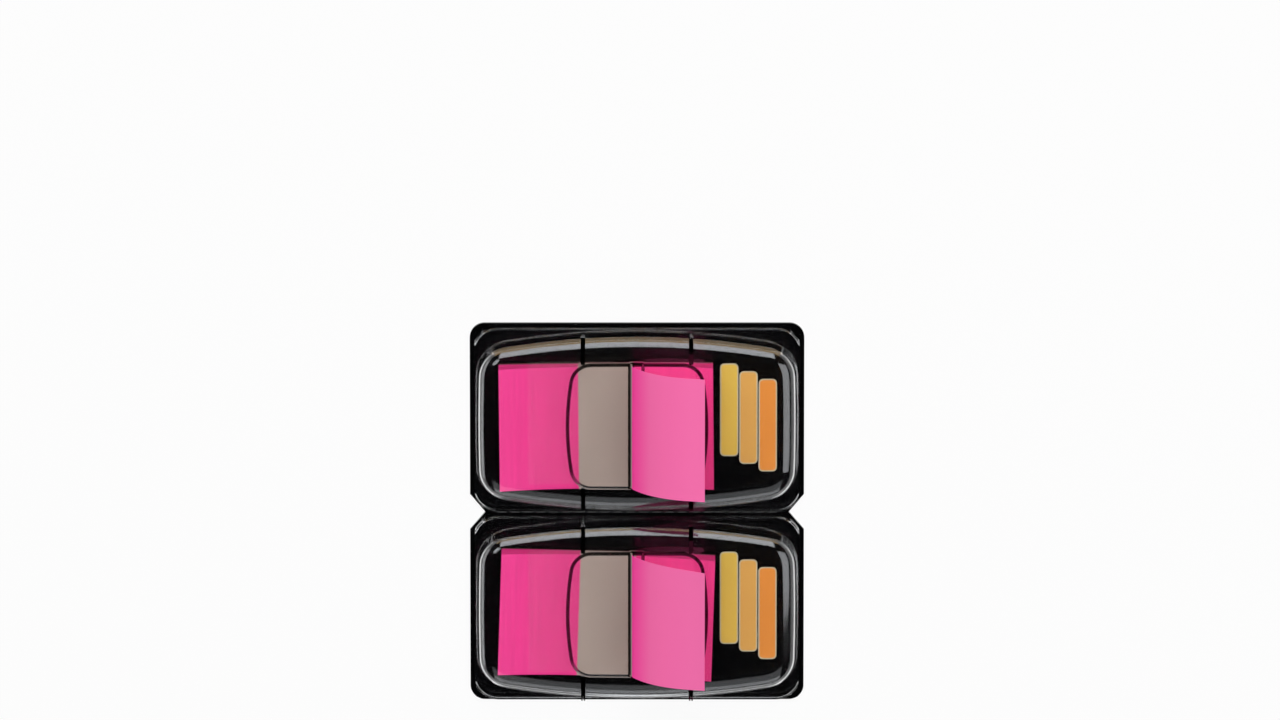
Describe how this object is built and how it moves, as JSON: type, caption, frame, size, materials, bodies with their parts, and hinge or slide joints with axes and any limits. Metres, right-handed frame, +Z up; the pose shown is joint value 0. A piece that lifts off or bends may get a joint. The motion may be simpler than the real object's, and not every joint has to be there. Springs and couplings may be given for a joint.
{
  "type": "sticky index tabs in a clear dispenser pack",
  "caption": "Twin pack of sticky index tabs: clear dispensers on a perforated card, each with a pad of film tabs and a tab pulled up through a slot.",
  "frame": {"origin": "middle of the card's underside, where the tear line crosses the pack's centre line", "axes": "+Z up out of the card, through the windows; +X along the tabs, towards the side that the pulled tabs lean to; +Y from the lower unit to the upper one"},
  "size_m": [0.0676, 0.0786, 0.0183],
  "materials": {
    "black_card": "glossy black printed card",
    "clear_sheet": "clear glossy formed sheet",
    "foam_tape": "matt foam strip, sticky both sides",
    "liner_paper": "smooth release paper",
    "pink_film": "satin translucent film, pink at the ends and clear in the middle"
  },
  "bodies": {
    "root": {"backing_card": "black_card", "clear_cover": "clear_sheet", "upper_fixing_tape": "foam_tape", "upper_pad_liner": "liner_paper", "upper_tab_pad": "pink_film", "upper_pulled_tab": "pink_film", "lower_fixing_tape": "foam_tape", "lower_pad_liner": "liner_paper", "lower_tab_pad": "pink_film", "lower_pulled_tab": "pink_film"}
  },
  "joints": []
}
